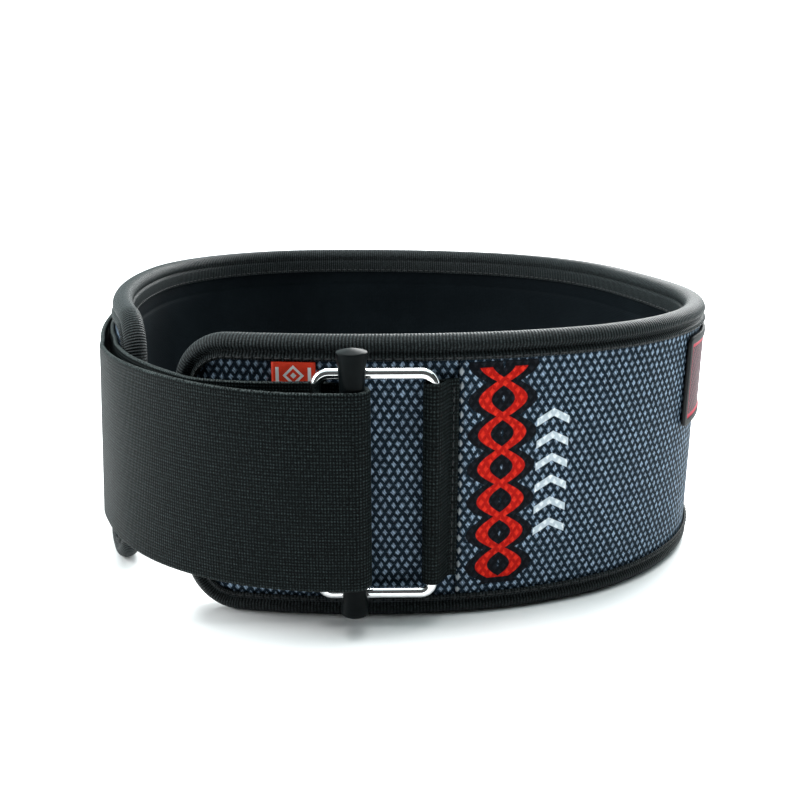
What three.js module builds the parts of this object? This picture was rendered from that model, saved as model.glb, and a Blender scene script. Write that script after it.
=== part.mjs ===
// A weightlifting belt, curled and closed, standing on its lower edge.
// Millimetres and degrees, +Z up, the closure facing -Y.
// Every soft piece is laid out flat first: s runs along the belt from the ring end,
// out points away from the wearer and z up. The curl then bends the flat belt round.
import * as THREE from 'three';
import { mergeVertices } from 'three/addons/utils/BufferGeometryUtils.js';

// Belt wall
const beltLength = 742;
const beltWidth = 100;
const padThickness = 4.4;
const coverThickness = 1;
const endCornerRadius = 19;
const endLean = 5.5;
const leanLength = 210;
const stationPitch = 11.5;
const clearance = 0.3;

// Binding tape, folded over every edge
const tapeThickness = 1;
const tapeLapOutside = 8;
const tapeLapInside = 12;
const grooveDepthBelowEdge = 5.2;
const coverTuck = 1.7;

// Seam where the main cover panel starts
const seamPosition = 94.5;
const hemWidth = 6;
const hemRise = 1.2;

// Wire ring and its sewn tab
const ringPosition = 67.5;
const ringWidth = 37.6;
const ringHeight = 77;
const ringCornerRadius = 4;
const ringRise = 0.6;
const wireDiameter = 4;
const tabShortOfRing = 7.2;
const tabHeight = ringHeight - tabShortOfRing;
const tabRise = 1.1;
const tabThickness = 1;

// Closure strap and locking bar
const strapWidth = 67.5;
const strapThickness = 1.8;
const strapSewnLength = 90;
const strapFreeLength = 78;
const strapRise = 3.7;
const strapRiseAtBar = 2.1;
const strapLevelUpTo = 17;
const strapTiltedFrom = 85;
const strapStandOff = 1.8;
const strapStandOffRun = 74;
const outerLeanShare = 0.6;
const bridgeFullness = 0.38;
const strapStepUpStart = 28;
const strapStepUpEnd = 12;
const strapStep = 5.5;
const barFromRingCentre = -7.2;
const barNeckRadius = 3.8;
const barRailRadius = 4.3;
const barHeadRadius = 5;
const barFootRadius = 4.9;
const barTopAboveRing = 9.7;
const barFootBelowRing = 4.3;
const barNeckTaper = 3;

// Trim
const tagPosition = 41.4;
const tagWidth = 14.2;
const tagLength = 14;
const tagThickness = 1;
const patchPosition = 192.5;
const patchWidth = 60;
const patchHeight = 35;
const patchBelowTape = 2.3;
const patchThickness = 1.6;

// The curl, seen from above: each stretch is one arc, its length a share of the belt
const startHeading = -13.7;
const curl = [
  { stretch: 'ring end', share: 0.126, turn: 20.5 },
  { stretch: 'front right', share: 0.064, turn: 15.5 },
  { stretch: 'right corner', share: 0.067, turn: 28.5 },
  { stretch: 'right side', share: 0.092, turn: 48.5 },
  { stretch: 'right back', share: 0.075, turn: 10 },
  { stretch: 'back', share: 0.122, turn: 50.5 },
  { stretch: 'back left', share: 0.125, turn: 26 },
  { stretch: 'left corner', share: 0.154, turn: 76.5 },
  { stretch: 'strap end', share: 0.179, turn: 37 },
];

// Layers of the wall, measured outwards from the middle of the pad
const padFace = padThickness / 2;
const coverBack = padFace + clearance;
const coverFace = coverBack + coverThickness;
const tapeBack = coverFace + clearance;
const tapeFace = tapeBack + tapeThickness;
const tapeInnerBack = -padFace - clearance;
const tapeInnerFace = tapeInnerBack - tapeThickness;
const middleHeight = beltWidth / 2;
const wireRadius = wireDiameter / 2;

// Plan of the curl

function buildArcs() {
  const total = curl.reduce((sum, row) => sum + row.share, 0);
  const arcs = [];
  let start = 0;
  let heading = THREE.MathUtils.degToRad(startHeading);
  let at = new THREE.Vector2(0, 0);
  for (const row of curl) {
    const length = beltLength * row.share / total;
    const arc = { start, length, heading, at, bend: THREE.MathUtils.degToRad(row.turn) / length };
    arcs.push(arc);
    at = alongArc(arc, length).point;
    heading += arc.bend * length;
    start += length;
  }
  return arcs;
}

function alongArc(arc, distance) {
  const turned = arc.bend * distance;
  const chord = Math.abs(turned) < 1e-9 ? distance : 2 * Math.sin(turned / 2) / arc.bend;
  const direction = arc.heading + turned / 2;
  const step = new THREE.Vector2(Math.cos(direction), Math.sin(direction)).multiplyScalar(chord);
  return { point: arc.at.clone().add(step), heading: arc.heading + turned };
}

const arcs = buildArcs();

// The point of the plan at s, moved outwards; past a tip the belt's line runs straight on
function planAt(s, out) {
  const inside = THREE.MathUtils.clamp(s, 0, beltLength);
  const arc = arcs.findLast((candidate) => candidate.start <= inside);
  const { point, heading } = alongArc(arc, inside - arc.start);
  const tangent = new THREE.Vector2(Math.cos(heading), Math.sin(heading));
  const outward = new THREE.Vector2(tangent.y, -tangent.x);
  const place = point.addScaledVector(tangent, s - inside).addScaledVector(outward, out);
  return { place, tangent, outward, heading };
}

// How far the wall leans in at its top, growing towards the strap end
function leanAt(s) {
  const share = THREE.MathUtils.smoothstep(s, beltLength - leanLength, beltLength);
  return share * Math.tan(THREE.MathUtils.degToRad(endLean));
}

function curled(s, out, z) {
  const leaning = out - (z - middleHeight) * leanAt(s);
  const { place } = planAt(s, leaning);
  return new THREE.Vector3(place.x, place.y, z);
}

// The s and out of a point given in plan
function flattened(point) {
  let s = ringPosition;
  for (let step = 0; step < 12; step += 1) {
    const { place, tangent } = planAt(s, 0);
    s += point.clone().sub(place).dot(tangent);
  }
  const { place, outward } = planAt(s, 0);
  return { s, out: point.clone().sub(place).dot(outward) };
}

// Solids

function signedVolume(positions, indices) {
  const a = new THREE.Vector3();
  const b = new THREE.Vector3();
  const c = new THREE.Vector3();
  let volume = 0;
  for (let i = 0; i < indices.length; i += 3) {
    a.fromArray(positions, indices[i] * 3);
    b.fromArray(positions, indices[i + 1] * 3);
    c.fromArray(positions, indices[i + 2] * 3);
    volume += a.dot(b.cross(c)) / 6;
  }
  return volume;
}

function solidGeometry(positions, indices) {
  const facingOut = signedVolume(positions, indices) > 0 ? indices : indices.slice().reverse();
  const geometry = new THREE.BufferGeometry();
  geometry.setAttribute('position', new THREE.Float32BufferAttribute(positions, 3));
  geometry.setIndex(facingOut);
  geometry.computeVertexNormals();
  return geometry;
}

// A solid swept through stations: outlineAt gives the section there as points of two
// numbers, and place puts such a point in space
function sweep(stations, outlineAt, place, closed = false) {
  const outlines = stations.map(outlineAt);
  const around = outlines[0].length;
  const positions = [];
  stations.forEach((station, i) => {
    outlines[i].forEach(([u, v]) => positions.push(...place(station, u, v).toArray()));
  });
  const indices = [];
  const spans = closed ? stations.length : stations.length - 1;
  for (let i = 0; i < spans; i += 1) {
    const here = i * around;
    const next = ((i + 1) % stations.length) * around;
    for (let j = 0; j < around; j += 1) {
      const k = (j + 1) % around;
      indices.push(here + j, here + k, next + k, here + j, next + k, next + j);
    }
  }
  if (!closed) {
    const last = (stations.length - 1) * around;
    const first = outlines[0].map(([u, v]) => new THREE.Vector2(u, v));
    const end = outlines.at(-1).map(([u, v]) => new THREE.Vector2(u, v));
    for (const [a, b, c] of capTriangles(first)) {
      indices.push(a, c, b);
    }
    for (const [a, b, c] of capTriangles(end)) {
      indices.push(last + a, last + b, last + c);
    }
  }
  return solidGeometry(positions, indices);
}

// Triangles over an outline, turning the way the outline turns
function capTriangles(outline) {
  const turnsLeft = THREE.ShapeUtils.area(outline) > 0;
  const triangles = THREE.ShapeUtils.triangulateShape(outline.slice(), []);
  return triangles.map(([a, b, c]) => {
    const left = THREE.ShapeUtils.area([outline[a], outline[b], outline[c]]) > 0;
    return left === turnsLeft ? [a, b, c] : [a, c, b];
  });
}

// Stations from one s to another, on one grid that all the layers of the wall share
function wallStations(from, to) {
  const count = Math.round(beltLength / stationPitch);
  const pitch = beltLength / count;
  const near = pitch / 4;
  const stations = [from];
  for (let i = 0; i <= count; i += 1) {
    const s = i * pitch;
    if (s > from + near && s < to - near) {
      stations.push(s);
    }
  }
  stations.push(to);
  return stations;
}

// Height of a wall's upper edge at s, with rounded corners at the ends it reaches
function cornerDrop(distanceFromEnd, radius) {
  const into = Math.max(0, radius - distanceFromEnd);
  return radius - Math.sqrt(Math.max(0, radius * radius - into * into));
}

function cornerStations(radius, count) {
  const steps = Array.from({ length: count }, (_, i) => (i + 1) / count * Math.PI / 2);
  return steps.map((angle) => radius * (1 - Math.cos(angle)));
}

// A flat layer of the wall between two values of s, with an inset from the belt's outline.
// The raise is how far its outer face rises at s, clear of the tucked upper and lower edge
function wallLayer({ from, to, inset, back, face, edge, roundStart, roundEnd, raise = null }) {
  const radius = Math.max(endCornerRadius - inset, 1);
  const rounding = [edge, ...cornerStations(radius, 4)];
  const stations = wallStations(from, to).filter((s) => {
    const nearStart = roundStart && s > from && s < from + radius;
    const nearEnd = roundEnd && s < to && s > to - radius;
    return !nearStart && !nearEnd;
  });
  if (roundStart) {
    stations.push(...rounding.map((distance) => from + distance));
  }
  if (roundEnd) {
    stations.push(...rounding.map((distance) => to - distance));
  }
  const outlineAt = (s) => {
    const intoStart = roundStart ? s - from : Infinity;
    const intoEnd = roundEnd ? to - s : Infinity;
    const intoTip = Math.min(intoStart, intoEnd);
    const drop = cornerDrop(intoTip, radius);
    const pinch = Math.max(0, edge - intoTip);
    const low = inset + drop;
    const high = beltWidth - inset - drop;
    const near = back + pinch;
    const far = face - pinch;
    const lower = [[near, low + edge], [near + edge, low], [far - edge, low], [far, low + edge]];
    const upper = [[far, high - edge], [far - edge, high], [near + edge, high], [near, high - edge]];
    if (!raise) {
      return [...lower, ...upper];
    }
    const foot = coverTuck + clearance;
    const top = far + raise(s);
    const raised = [
      [far, low + foot], [top, low + foot + hemRise],
      [top, high - foot - hemRise], [far, high - foot],
    ];
    return [...lower, ...raised, ...upper];
  };
  const ordered = [...new Set(stations)].sort((a, b) => a - b);
  return sweep(ordered, outlineAt, (s, out, z) => curled(s, out, z));
}

// Pad and covers

const rollFacets = 5;
const rollRadius = (tapeFace - tapeInnerFace) / 2;
const rollMiddle = (tapeFace + tapeInnerFace) / 2;
const rollApothem = rollRadius * Math.cos(Math.PI / 2 / rollFacets);
const foldInside = tapeThickness;
const padEdge = 1;
const padInset = foldInside + padEdge / 2 + clearance;
const coverInset = tapeLapOutside - coverTuck;

function paddedLining() {
  return wallLayer({
    from: padInset,
    to: beltLength - padInset,
    inset: padInset,
    back: -padFace,
    face: padFace,
    edge: padEdge,
    roundStart: true,
    roundEnd: true,
  });
}

function outerCoverFront() {
  return wallLayer({
    from: coverInset,
    to: seamPosition - clearance / 2,
    inset: coverInset,
    back: coverBack,
    face: coverFace,
    edge: coverThickness / 4,
    roundStart: true,
    roundEnd: false,
  });
}

function outerCoverMain() {
  const start = seamPosition + clearance / 2;
  const hem = (s) => hemRise * (1 - THREE.MathUtils.smoothstep(s, start + hemWidth / 2, start + 2 * hemWidth));
  return wallLayer({
    from: start,
    to: beltLength - coverInset,
    inset: coverInset,
    back: coverBack,
    face: coverFace,
    edge: coverThickness / 4,
    roundStart: false,
    roundEnd: true,
    raise: hem,
  });
}

// Binding tape

// The section of the folded tape: the first number runs in from the edge, the second outwards
function tapeSection() {
  const roll = (radius, depth) => {
    const points = [];
    for (let i = 0; i <= rollFacets; i += 1) {
      const angle = Math.PI * (i / rollFacets - 0.5);
      points.push([depth - radius * Math.cos(angle), rollMiddle + radius * Math.sin(angle)]);
    }
    return points;
  };
  const groove = padFace + clearance;
  const outside = [
    [tapeLapInside, tapeInnerFace],
    ...roll(rollRadius, rollApothem),
    [grooveDepthBelowEdge, groove + tapeThickness],
    [coverInset - clearance, tapeFace],
    [tapeLapOutside, tapeFace],
  ];
  const inside = [
    [tapeLapOutside, tapeBack],
    [coverInset - clearance, tapeBack],
    [grooveDepthBelowEdge, groove],
    [foldInside + padEdge, groove],
    [foldInside, padFace - padEdge],
    [foldInside, -padFace + padEdge],
    [foldInside + padEdge, tapeInnerBack],
    [tapeLapInside, tapeInnerBack],
  ];
  return [...outside, ...inside];
}

// The outline of the upper half of the flat belt, from the middle of one end to the other
function edgeStations() {
  const corner = [];
  const steps = 5;
  for (let i = 0; i <= steps; i += 1) {
    corner.push(i / steps * Math.PI / 2);
  }
  const rounded = corner.map((angle) => ({
    s: endCornerRadius * (1 - Math.cos(angle)),
    height: middleHeight - endCornerRadius + endCornerRadius * Math.sin(angle),
    inward: [Math.cos(angle), -Math.sin(angle)],
  }));
  const start = { s: 0, height: clearance / 2, inward: [1, 0] };
  const ringEnd = [start, ...rounded];
  const strapEnd = ringEnd.slice().reverse().map((station) => ({
    s: beltLength - station.s,
    height: station.height,
    inward: [-station.inward[0], station.inward[1]],
  }));
  const straight = wallStations(endCornerRadius, beltLength - endCornerRadius).slice(1, -1);
  const run = straight.map((s) => ({ s, height: middleHeight, inward: [0, -1] }));
  return [...ringEnd, ...run, ...strapEnd];
}

function binding(side) {
  const section = tapeSection();
  return sweep(edgeStations(), () => section, (station, depth, out) => {
    const s = station.s + depth * station.inward[0];
    const height = station.height + depth * station.inward[1];
    return curled(s, out, middleHeight + side * height);
  });
}

// Places around the ring, seen from above

const legOut = coverFace + clearance + tagThickness + clearance + strapThickness + clearance + wireRadius;
const legFromCentre = ringWidth / 2;
const ringFrame = ringPlace();

function ringPlace() {
  const { place, tangent, outward, heading } = planAt(ringPosition, 0);
  const leg = planAt(ringPosition - legFromCentre, legOut).place;
  const offset = leg.sub(place).dot(outward);
  return { place, tangent, outward, heading, offset };
}

// A point of the plan given along the ring and outwards from its plane
function besideRing(along, off) {
  const { place, tangent, outward, offset } = ringFrame;
  return place.clone().addScaledVector(tangent, along).addScaledVector(outward, offset + off);
}

const barOff = wireRadius + clearance + barRailRadius;
const barPlace = besideRing(barFromRingCentre, barOff);
const ringMiddle = middleHeight + ringRise;
const ringBottom = ringMiddle - ringHeight / 2;
const ringTop = ringMiddle + ringHeight / 2;

// Wire ring

function buckleRing() {
  const sides = 10;
  const cornerSteps = 4;
  const section = [];
  for (let i = 0; i < sides; i += 1) {
    const angle = 2 * Math.PI * i / sides;
    section.push([wireRadius * Math.cos(angle), wireRadius * Math.sin(angle)]);
  }
  const stations = [];
  for (const [quarter, across, up] of [[0, 1, 1], [1, -1, 1], [2, -1, -1], [3, 1, -1]]) {
    for (let i = 0; i <= cornerSteps; i += 1) {
      const angle = Math.PI / 2 * (quarter + i / cornerSteps);
      stations.push({
        x: across * (ringWidth / 2 - ringCornerRadius) + ringCornerRadius * Math.cos(angle),
        z: up * (ringHeight / 2 - ringCornerRadius) + ringCornerRadius * Math.sin(angle),
        angle,
      });
    }
  }
  return sweep(stations, () => section, (station, u, v) => new THREE.Vector3(
    station.x + u * Math.cos(station.angle),
    v,
    station.z + u * Math.sin(station.angle),
  ), true);
}

// Sewn tab: a loop of webbing round the ring's right leg, its tail running to the seam.
// The loop has room for the wire where it bends at the ring's corners

function ringTab() {
  const leg = flattened(besideRing(legFromCentre, 0));
  const tabBottom = middleHeight + tabRise - tabHeight / 2;
  const tabTop = tabBottom + tabHeight;
  const nearestRail = Math.min(ringTop - tabTop, tabBottom - ringBottom) - wireRadius;
  const hole = wireRadius + clearance + cornerDrop(nearestRail, ringCornerRadius - wireRadius);
  const outer = hole + tabThickness;
  const floor = coverFace + clearance;
  const end = seamPosition - clearance / 2;
  const tailStart = leg.s + outer + 1;
  const tailThickness = 2 * tabThickness;
  const points = [];
  const steps = 10;
  for (let i = 0; i <= steps; i += 1) {
    const angle = Math.PI * (0.4 + 1.2 * i / steps);
    points.push(new THREE.Vector2(leg.s + outer * Math.cos(angle), leg.out + outer * Math.sin(angle)));
  }
  points.push(new THREE.Vector2(tailStart, floor));
  points.push(new THREE.Vector2(end, floor));
  points.push(new THREE.Vector2(end, floor + hemRise));
  points.push(new THREE.Vector2(tailStart + 1, floor + tailThickness));
  const shape = new THREE.Shape(points);
  const opening = new THREE.Path();
  opening.absarc(leg.s, leg.out, hole, 0, 2 * Math.PI, true);
  shape.holes.push(opening);
  const geometry = new THREE.ExtrudeGeometry(shape, {
    depth: tabHeight,
    steps: 1,
    bevelEnabled: false,
    curveSegments: 6,
  });
  return bent(geometry, tabBottom);
}

// Bends an extruded geometry round the curl: x is s, y is out and z is the height
function bent(geometry, lift) {
  geometry.deleteAttribute('normal');
  geometry.deleteAttribute('uv');
  const merged = mergeVertices(geometry, 1e-4);
  const position = merged.getAttribute('position');
  const positions = [];
  for (let i = 0; i < position.count; i += 1) {
    const spot = curled(position.getX(i), position.getY(i), position.getZ(i) + lift);
    positions.push(spot.x, spot.y, spot.z);
  }
  return solidGeometry(positions, Array.from(merged.getIndex().array));
}

// Locking bar, turned, waisted where the strap folds round it

function lockingBar() {
  const foot = ringBottom - barFootBelowRing;
  const head = ringTop + barTopAboveRing;
  const belowRail = ringBottom - wireRadius - clearance;
  const footRounding = (belowRail - foot) / 3;
  const profile = [
    [0, foot],
    [barFootRadius - footRounding, foot],
    [barFootRadius, foot + footRounding],
    [barRailRadius, ringBottom],
    [barNeckRadius, ringBottom + barNeckTaper],
    [barNeckRadius, ringTop - barNeckTaper],
    [barRailRadius, ringTop],
    [barHeadRadius, head - 1.6],
    [barHeadRadius - 0.6, head - 0.5],
    [0, head],
  ].map(([radius, height]) => new THREE.Vector2(radius, height));
  const geometry = new THREE.LatheGeometry(profile, 20);
  geometry.rotateX(Math.PI / 2);
  return geometry;
}

// Closure strap

// Its inner layer lies on the strap end, crosses to the ring, passes under the left leg,
// folds round the bar and comes back outside as the outer layer
function strapLine() {
  const half = strapThickness / 2;
  const onCover = coverFace + clearance + half;
  const onTape = tapeFace + clearance + half;
  const layerStep = strapThickness + clearance;
  const stepStart = beltLength - strapStepUpStart;
  const stepEnd = beltLength - strapStepUpEnd;
  const overTip = (s) => THREE.MathUtils.smoothstep(s, stepStart, stepEnd);
  const innerOut = (s) => onCover + (onTape - onCover) * overTip(s);
  const line = [];
  for (const s of spread(beltLength - strapSewnLength, beltLength, strapSewnLength)) {
    line.push({ place: planAt(s, innerOut(s)).place, s, layer: 0 });
  }
  const turn = barNeckRadius + clearance + half;
  const front = besideRing(barFromRingCentre, barOff + turn);
  const behindFront = besideRing(barFromRingCentre, barOff + turn - layerStep);
  const outerBridge = bridge(onTape + layerStep + strapStandOff, front);
  const innerBridge = bridge(onTape, behindFront);
  const splitAt = Math.round(innerBridge.length * 0.45);
  innerBridge.slice(1, splitAt).forEach((place) => line.push({ place, s: beltLength, layer: 0 }));
  const legTurn = wireRadius + clearance + half;
  const across = barFromRingCentre + legFromCentre;
  const crossing = Math.atan2(barOff, across) - Math.acos((legTurn - turn) / Math.hypot(across, barOff));
  const under = besideRing(-legFromCentre, -legTurn);
  const split = innerBridge[splitAt];
  const before = innerBridge[splitAt - 1];
  const leaving = split.clone().sub(before).normalize();
  const dip = new THREE.CubicBezierCurve(
    split,
    split.clone().addScaledVector(leaving, 9),
    under.clone().addScaledVector(ringFrame.tangent, -9),
    under,
  );
  dip.getPoints(5).forEach((place) => line.push({ place, s: beltLength, layer: 0 }));
  const leaveLeg = besideRing(
    -legFromCentre + legTurn * Math.cos(crossing),
    legTurn * Math.sin(crossing),
  );
  line.push({ place: leaveLeg, s: beltLength, layer: 0 });
  const barSteps = 8;
  for (let i = 0; i < barSteps; i += 1) {
    const angle = crossing + (Math.PI / 2 - crossing) * i / barSteps;
    const place = besideRing(
      barFromRingCentre + turn * Math.cos(angle),
      barOff + turn * Math.sin(angle),
    );
    line.push({ place, s: beltLength, layer: angle > 0 ? 1 : 0 });
  }
  outerBridge.slice().reverse().forEach((place) => line.push({ place, s: beltLength, layer: 1 }));
  const outerOut = (s) => innerOut(s) + layerStep + strapStandOff * loosenedAt(s);
  for (const s of spread(beltLength, beltLength - strapFreeLength, strapFreeLength).slice(1)) {
    line.push({ place: planAt(s, outerOut(s)).place, s, layer: 1 });
  }
  return line;
}

// How far the strap's outer layer has come loose of the inner one at s, from 0 to 1
function loosenedAt(s) {
  const freeEnd = beltLength - strapFreeLength;
  return THREE.MathUtils.smoothstep(s, freeEnd, freeEnd + strapStandOffRun);
}

function spread(from, to, length) {
  const count = Math.max(2, Math.round(length / strapStep));
  return Array.from({ length: count + 1 }, (_, i) => from + (to - from) * i / count);
}

// The strap's way from the strap end's tip to the front of the bar
function bridge(out, target) {
  const tip = planAt(beltLength, out);
  const reach = tip.place.distanceTo(target);
  const curve = new THREE.CubicBezierCurve(
    tip.place,
    tip.place.clone().addScaledVector(tip.tangent, reach * bridgeFullness),
    target.clone().addScaledVector(ringFrame.tangent, -reach * bridgeFullness),
    target,
  );
  return curve.getPoints(Math.round(reach / strapStep));
}

function closureStrap() {
  const line = strapLine();
  const half = strapThickness / 2;
  const section = [[-half, -0.5], [half, -0.5], [half, 0.5], [-half, 0.5]];
  const stations = line.map((point, i) => {
    const ahead = line[Math.min(i + 1, line.length - 1)].place;
    const behind = line[Math.max(i - 1, 0)].place;
    const along = ahead.clone().sub(behind).normalize();
    const normal = new THREE.Vector2(along.y, -along.x);
    const distance = point.place.distanceTo(barPlace);
    const fromBar = THREE.MathUtils.smoothstep(distance, strapLevelUpTo, strapTiltedFrom);
    const rise = strapRiseAtBar + (strapRise - strapRiseAtBar) * fromBar;
    const beltLean = point.s < beltLength ? leanAt(point.s) : leanAt(beltLength) * fromBar;
    const uprighted = 1 - (1 - outerLeanShare) * loosenedAt(point.s);
    const lean = point.layer === 0 ? beltLean : -beltLean * uprighted;
    return { place: point.place, normal, rise, lean };
  });
  return sweep(stations, () => section, (station, u, v) => {
    const z = middleHeight + station.rise + v * strapWidth;
    const out = u - (z - middleHeight) * station.lean;
    const spot = station.place.clone().addScaledVector(station.normal, out);
    return new THREE.Vector3(spot.x, spot.y, z);
  });
}

// Trim sewn on the cover

function flatTrim({ from, to, low, high, thickness }) {
  const back = coverFace + clearance;
  const face = back + thickness;
  const edge = thickness / 4;
  const outline = [
    [back, low], [face - edge, low], [face, low + edge],
    [face, high - edge], [face - edge, high], [back, high],
  ];
  return sweep(wallStations(from, to), () => outline, (s, out, z) => curled(s, out, z));
}

function pullTag() {
  const top = beltWidth - tapeLapOutside - clearance;
  return flatTrim({
    from: tagPosition - tagWidth / 2,
    to: tagPosition + tagWidth / 2,
    low: top - tagLength,
    high: top,
    thickness: tagThickness,
  });
}

function sidePatch() {
  const top = beltWidth - tapeLapOutside - patchBelowTape;
  return flatTrim({
    from: patchPosition,
    to: patchPosition + patchWidth,
    low: top - patchHeight,
    high: top,
    thickness: patchThickness,
  });
}

// Assembly

const blackCloth = new THREE.MeshStandardMaterial({ color: 0x17191a, roughness: 0.85 });
const lining = new THREE.MeshStandardMaterial({ color: 0x101214, roughness: 0.7 });
const greyWeave = new THREE.MeshStandardMaterial({ color: 0x3d4a58, roughness: 0.8 });
const webbing = new THREE.MeshStandardMaterial({ color: 0x1b1e1d, roughness: 0.8 });
const chrome = new THREE.MeshStandardMaterial({ color: 0xe6e8ea, roughness: 0.12, metalness: 1 });
const blackPlastic = new THREE.MeshStandardMaterial({ color: 0x1c1e20, roughness: 0.5 });
const redCloth = new THREE.MeshStandardMaterial({ color: 0xd8281c, roughness: 0.7 });

const belt = new THREE.Group();

function add(name, geometry, material) {
  const mesh = new THREE.Mesh(geometry, material);
  mesh.name = name;
  belt.add(mesh);
  return mesh;
}

add('padded_lining', paddedLining(), lining);
add('outer_cover_front', outerCoverFront(), greyWeave);
add('outer_cover_main', outerCoverMain(), greyWeave);
add('binding_top', binding(1), blackCloth);
add('binding_bottom', binding(-1), blackCloth);
add('ring_tab', ringTab(), webbing);
add('closure_strap', closureStrap(), webbing);
add('pull_tag', pullTag(), redCloth);
add('side_patch', sidePatch(), blackCloth);

const ring = add('buckle_ring', buckleRing(), chrome);
const ringCentre = besideRing(0, 0);
ring.position.set(ringCentre.x, ringCentre.y, ringMiddle);
ring.rotation.z = ringFrame.heading;

const bar = add('locking_bar', lockingBar(), blackPlastic);
bar.position.set(barPlace.x, barPlace.y, 0);

// The origin is the middle of the footprint's bounding box, on the floor
belt.updateMatrixWorld(true);
const bounds = new THREE.Box3().setFromObject(belt, true);
const centre = bounds.getCenter(new THREE.Vector3());
belt.position.set(-centre.x, -centre.y, -bounds.min.z);

export default belt;
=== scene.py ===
import math

import bmesh
import bpy
import numpy as np
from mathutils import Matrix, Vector


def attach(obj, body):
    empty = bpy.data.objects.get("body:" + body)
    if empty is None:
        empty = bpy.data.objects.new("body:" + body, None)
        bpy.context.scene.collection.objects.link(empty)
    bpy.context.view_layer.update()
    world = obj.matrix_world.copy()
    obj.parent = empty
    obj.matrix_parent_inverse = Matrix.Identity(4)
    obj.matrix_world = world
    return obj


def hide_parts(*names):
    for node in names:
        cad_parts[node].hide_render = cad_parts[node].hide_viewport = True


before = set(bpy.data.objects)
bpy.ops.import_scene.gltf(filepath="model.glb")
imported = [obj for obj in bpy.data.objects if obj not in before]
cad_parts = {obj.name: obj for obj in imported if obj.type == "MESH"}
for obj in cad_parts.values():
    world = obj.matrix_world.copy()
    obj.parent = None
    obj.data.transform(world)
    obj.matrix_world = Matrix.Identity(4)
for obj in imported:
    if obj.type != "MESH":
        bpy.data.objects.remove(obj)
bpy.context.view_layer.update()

# Lengths are millimetres until a mesh is made, which is in metres.
# The belt is laid out flat and then curled: s runs along the belt from the ring end,
# out runs away from the wearer from the middle of the pad, and z is the height.

MM = 0.001

# The belt and its curl, as in the frame
BELT_LENGTH = 742.0
BELT_WIDTH = 100.0
MIDDLE_HEIGHT = BELT_WIDTH / 2
CURL_START = (-71.961292, -101.914858)
START_HEADING = -13.7
CURL = [
    (0.126, 20.5),
    (0.064, 15.5),
    (0.067, 28.5),
    (0.092, 48.5),
    (0.075, 10.0),
    (0.122, 50.5),
    (0.125, 26.0),
    (0.154, 76.5),
    (0.179, 37.0),
]
END_LEAN = 5.5
LEAN_LENGTH = 210.0
END_CORNER_RADIUS = 19.0

# Layers of the wall
CLEARANCE = 0.3
PAD_FACE = 2.2
PAD_INSET = 1.8
COVER_BACK = PAD_FACE + CLEARANCE
COVER_FACE = COVER_BACK + 1.0
COVER_INSET = 6.3
TAPE_FACE = COVER_FACE + CLEARANCE + 1.0
TAPE_INNER_FACE = -PAD_FACE - CLEARANCE - 1.0
TAPE_LAP_OUTSIDE = 8.0
TAPE_LAP_INSIDE = 12.0
TRIM_BACK = COVER_FACE + CLEARANCE

# Closure
SEAM_POSITION = 94.5
RING_POSITION = 67.5
RING_WIDTH = 37.6
RING_HEIGHT = 77.0
RING_CORNER_RADIUS = 4.0
RING_RISE = 0.6
WIRE_RADIUS = 2.0
TAB_HEIGHT = 69.8
TAB_RISE = 1.1
TAB_SLACK = 0.22
TAB_THICKNESS = 1.0
STRAP_WIDTH = 67.5
STRAP_THICKNESS = 1.8
STRAP_SEWN_LENGTH = 90.0
STRAP_FREE_LENGTH = 78.0
STRAP_RISE = 3.7
STRAP_RISE_AT_BAR = 2.1
STRAP_LEVEL_UP_TO = 17.0
STRAP_TILTED_FROM = 85.0
STRAP_STAND_OFF = 1.8
STRAP_STAND_OFF_RUN = 74.0
OUTER_LEAN_SHARE = 0.6
BRIDGE_FULLNESS = 0.38
STRAP_STEP_UP = (28.0, 12.0)
BAR_FROM_RING_CENTRE = -7.2
BAR_NECK_RADIUS = 3.8
BAR_RAIL_RADIUS = 4.3
BAR_FOOT_BELOW_RING = 4.3
BAR_TOP_ABOVE_RING = 9.7

# Trim
TAG_POSITION = 41.4
TAG_WIDTH = 14.2
TAG_LENGTH = 14.0
TAG_THICKNESS = 1.0
PATCH_POSITION = 192.5
PATCH_WIDTH = 60.0
PATCH_HEIGHT = 35.0
PATCH_THICKNESS = 1.6
PATCH_BELOW_TAPE = 2.3
TRIM_TOP = BELT_WIDTH - TAPE_LAP_OUTSIDE - CLEARANCE
PATCH_TOP = BELT_WIDTH - TAPE_LAP_OUTSIDE - PATCH_BELOW_TAPE

# Pitches of the cloths
LOZENGE_PITCH = 2.93
LOZENGE_ROW = 2.45
TAPE_RIB = 1.14
STRAP_RIB = 1.0
STRAP_ROW = 1.1

# Printed band
BRAID_POSITION = 109.4
BRAID_SWING = 6.2
BRAID_PITCH = 24.0
CHEVRON_POSITION = 127.6
PRINT_MIDDLE = 51.0


# Plan of the curl


def smoothstep(x, low, high):
    t = np.clip((np.asarray(x, float) - low) / (high - low), 0, 1)
    return t * t * (3 - 2 * t)


def build_arcs():
    """Rows of start, x, y, heading and bend, one for each stretch of the curl."""
    total = sum(share for share, _ in CURL)
    s = 0.0
    x, y = CURL_START
    heading = math.radians(START_HEADING)
    rows = []
    for share, turn in CURL:
        length = BELT_LENGTH * share / total
        bend = math.radians(turn) / length
        rows.append((s, x, y, heading, bend))
        chord = 2 * math.sin(bend * length / 2) / bend
        direction = heading + bend * length / 2
        x += chord * math.cos(direction)
        y += chord * math.sin(direction)
        heading += bend * length
        s += length
    return np.array(rows)


ARCS = build_arcs()


def direction_of(angle):
    return np.stack([np.cos(angle), np.sin(angle)], -1)


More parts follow.
